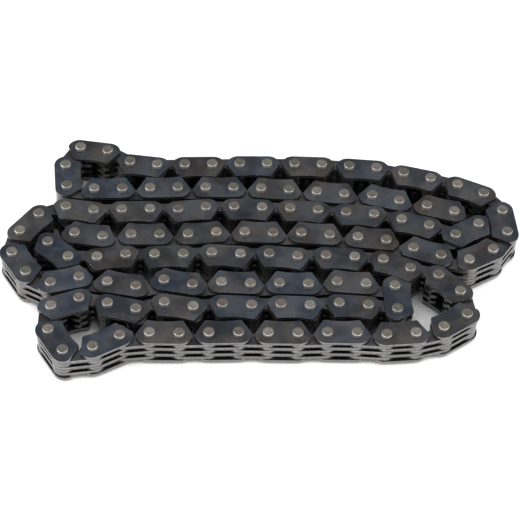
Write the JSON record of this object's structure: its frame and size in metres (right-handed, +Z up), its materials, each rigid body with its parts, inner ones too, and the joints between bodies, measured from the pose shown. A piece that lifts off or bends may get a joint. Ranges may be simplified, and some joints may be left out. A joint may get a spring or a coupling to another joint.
{
  "type": "cam chain",
  "caption": "Closed-loop inverted-tooth cam chain of guide plates, toothed plates and pins, folded into nested rows.",
  "frame": {"origin": "under the middle of the pile, on the surface that the lower ends of the pins stand on", "axes": "+X to the right along the rows, +Y from the front row to the rear row, +Z up along the pins"},
  "size_m": [0.1156, 0.0638, 0.0086],
  "materials": {
    "guide_plate": "satin heat-darkened steel",
    "mid_plate": "satin heat-darkened steel",
    "inner_plate": "satin heat-darkened steel",
    "pin": "satin ground steel"
  },
  "bodies": {
    "pile": {"row_4_guide_plates": "guide_plate", "row_4_mid_plates": "mid_plate", "row_4_inner_plates": "inner_plate", "row_4_pins": "pin", "row_5_guide_plates": "guide_plate", "row_5_mid_plates": "mid_plate", "row_5_inner_plates": "inner_plate", "row_5_pins": "pin", "row_8_guide_plates": "guide_plate", "row_8_mid_plates": "mid_plate", "row_8_inner_plates": "inner_plate", "row_8_pins": "pin", "row_7_guide_plates": "guide_plate", "row_7_mid_plates": "mid_plate", "row_7_inner_plates": "inner_plate", "row_7_pins": "pin", "row_6_guide_plates": "guide_plate", "row_6_mid_plates": "mid_plate", "row_6_inner_plates": "inner_plate", "row_6_pins": "pin", "row_3_guide_plates": "guide_plate", "row_3_mid_plates": "mid_plate", "row_3_inner_plates": "inner_plate", "row_3_pins": "pin", "row_2_guide_plates": "guide_plate", "row_2_mid_plates": "mid_plate", "row_2_inner_plates": "inner_plate", "row_2_pins": "pin"},
    "link_10": {"link_10_outer_plates": "guide_plate", "link_10_pins": "pin"},
    "link_9": {"link_9_inner_plates": "inner_plate"},
    "link_8": {"link_8_outer_plates": "guide_plate", "link_8_pins": "pin"},
    "link_7": {"link_7_inner_plates": "inner_plate"},
    "link_6": {"link_6_outer_plates": "guide_plate", "link_6_pins": "pin"},
    "link_5": {"link_5_inner_plates": "inner_plate"},
    "link_4": {"link_4_outer_plates": "guide_plate", "link_4_pins": "pin"},
    "link_3": {"link_3_inner_plates": "inner_plate"},
    "link_2": {"link_2_outer_plates": "guide_plate", "link_2_pins": "pin"},
    "link_117": {"link_117_inner_plates": "inner_plate"},
    "link_118": {"link_118_outer_plates": "guide_plate", "link_118_pins": "pin"},
    "link_119": {"link_119_inner_plates": "inner_plate"},
    "link_120": {"link_120_outer_plates": "guide_plate", "link_120_pins": "pin"},
    "link_121": {"link_121_inner_plates": "inner_plate"},
    "link_122": {"link_122_outer_plates": "guide_plate", "link_122_pins": "pin"},
    "link_123": {"link_123_inner_plates": "inner_plate"},
    "link_124": {"link_124_outer_plates": "guide_plate", "link_124_pins": "pin"},
    "link_125": {"link_125_inner_plates": "inner_plate"},
    "corner": {"corner_guide_plates": "guide_plate", "corner_mid_plates": "mid_plate", "corner_inner_plates": "inner_plate", "corner_pins": "pin"}
  },
  "joints": [
    {"name": "pin_11_hinge", "type": "hinge", "parent": "pile", "child": "link_10", "pos_m": [0.02587, 0.02668, 0.00429], "axis": [0, 0, -1], "range_deg": [0, 12]},
    {"name": "pin_10_hinge", "type": "hinge", "parent": "link_10", "child": "link_9", "pos_m": [0.01952, 0.02691, 0.00429], "axis": [0, 0, -1], "range_deg": [0, 12]},
    {"name": "pin_9_hinge", "type": "hinge", "parent": "link_9", "child": "link_8", "pos_m": [0.01317, 0.02702, 0.00429], "axis": [0, 0, -1], "range_deg": [0, 12]},
    {"name": "pin_8_hinge", "type": "hinge", "parent": "link_8", "child": "link_7", "pos_m": [0.00682, 0.02691, 0.00429], "axis": [0, 0, -1], "range_deg": [0, 12]},
    {"name": "pin_7_hinge", "type": "hinge", "parent": "link_7", "child": "link_6", "pos_m": [0.00048, 0.02657, 0.00429], "axis": [0, 0, -1], "range_deg": [0, 12]},
    {"name": "pin_6_hinge", "type": "hinge", "parent": "link_6", "child": "link_5", "pos_m": [-0.00586, 0.02624, 0.00429], "axis": [0, 0, -1], "range_deg": [0, 12]},
    {"name": "pin_5_hinge", "type": "hinge", "parent": "link_5", "child": "link_4", "pos_m": [-0.01218, 0.02569, 0.00429], "axis": [0, 0, -1], "range_deg": [0, 12]},
    {"name": "pin_4_hinge", "type": "hinge", "parent": "link_4", "child": "link_3", "pos_m": [-0.01852, 0.02524, 0.00429], "axis": [0, 0, -1], "range_deg": [0, 12]},
    {"name": "pin_3_hinge", "type": "hinge", "parent": "link_3", "child": "link_2", "pos_m": [-0.02485, 0.0248, 0.00429], "axis": [0, 0, -1], "range_deg": [0, 12]},
    {"name": "pin_2_hinge", "type": "hinge", "parent": "link_2", "child": "corner", "pos_m": [-0.03118, 0.02535, 0.00429], "axis": [0, 0, -1], "range_deg": [-108, 0]},
    {"name": "pin_117_hinge", "type": "hinge", "parent": "pile", "child": "link_117", "pos_m": [0.01205, 0.01858, 0.00429], "axis": [0, 0, -1], "range_deg": [0, 12]},
    {"name": "pin_118_hinge", "type": "hinge", "parent": "link_117", "child": "link_118", "pos_m": [0.00571, 0.0188, 0.00429], "axis": [0, 0, -1], "range_deg": [0, 12]},
    {"name": "pin_119_hinge", "type": "hinge", "parent": "link_118", "child": "link_119", "pos_m": [-0.00064, 0.01891, 0.00429], "axis": [0, 0, -1], "range_deg": [0, 12]},
    {"name": "pin_120_hinge", "type": "hinge", "parent": "link_119", "child": "link_120", "pos_m": [-0.00699, 0.0188, 0.00429], "axis": [0, 0, -1], "range_deg": [0, 12]},
    {"name": "pin_121_hinge", "type": "hinge", "parent": "link_120", "child": "link_121", "pos_m": [-0.01333, 0.01847, 0.00429], "axis": [0, 0, -1], "range_deg": [0, 12]},
    {"name": "pin_122_hinge", "type": "hinge", "parent": "link_121", "child": "link_122", "pos_m": [-0.01967, 0.01813, 0.00429], "axis": [0, 0, -1], "range_deg": [0, 12]},
    {"name": "pin_123_hinge", "type": "hinge", "parent": "link_122", "child": "link_123", "pos_m": [-0.026, 0.01758, 0.00429], "axis": [0, 0, -1], "range_deg": [0, 12]},
    {"name": "pin_124_hinge", "type": "hinge", "parent": "link_123", "child": "link_124", "pos_m": [-0.03233, 0.01714, 0.00429], "axis": [0, 0, -1], "range_deg": [0, 12]},
    {"name": "pin_125_hinge", "type": "hinge", "parent": "link_124", "child": "link_125", "pos_m": [-0.03867, 0.01669, 0.00429], "axis": [0, 0, -1], "range_deg": [0, 12]}
  ],
  "couplings": [
    {"joint": "pin_10_hinge", "follows": "pin_11_hinge", "ratio": 1},
    {"joint": "pin_9_hinge", "follows": "pin_11_hinge", "ratio": 1},
    {"joint": "pin_8_hinge", "follows": "pin_11_hinge", "ratio": 1},
    {"joint": "pin_7_hinge", "follows": "pin_11_hinge", "ratio": 1},
    {"joint": "pin_6_hinge", "follows": "pin_11_hinge", "ratio": 1},
    {"joint": "pin_5_hinge", "follows": "pin_11_hinge", "ratio": 1},
    {"joint": "pin_4_hinge", "follows": "pin_11_hinge", "ratio": 1},
    {"joint": "pin_3_hinge", "follows": "pin_11_hinge", "ratio": 1},
    {"joint": "pin_2_hinge", "follows": "pin_11_hinge", "ratio": -9},
    {"joint": "pin_117_hinge", "follows": "pin_11_hinge", "ratio": 1},
    {"joint": "pin_118_hinge", "follows": "pin_11_hinge", "ratio": 1},
    {"joint": "pin_119_hinge", "follows": "pin_11_hinge", "ratio": 1},
    {"joint": "pin_120_hinge", "follows": "pin_11_hinge", "ratio": 1},
    {"joint": "pin_121_hinge", "follows": "pin_11_hinge", "ratio": 1},
    {"joint": "pin_122_hinge", "follows": "pin_11_hinge", "ratio": 1},
    {"joint": "pin_123_hinge", "follows": "pin_11_hinge", "ratio": 1},
    {"joint": "pin_124_hinge", "follows": "pin_11_hinge", "ratio": 1},
    {"joint": "pin_125_hinge", "follows": "pin_11_hinge", "ratio": 1}
  ]
}
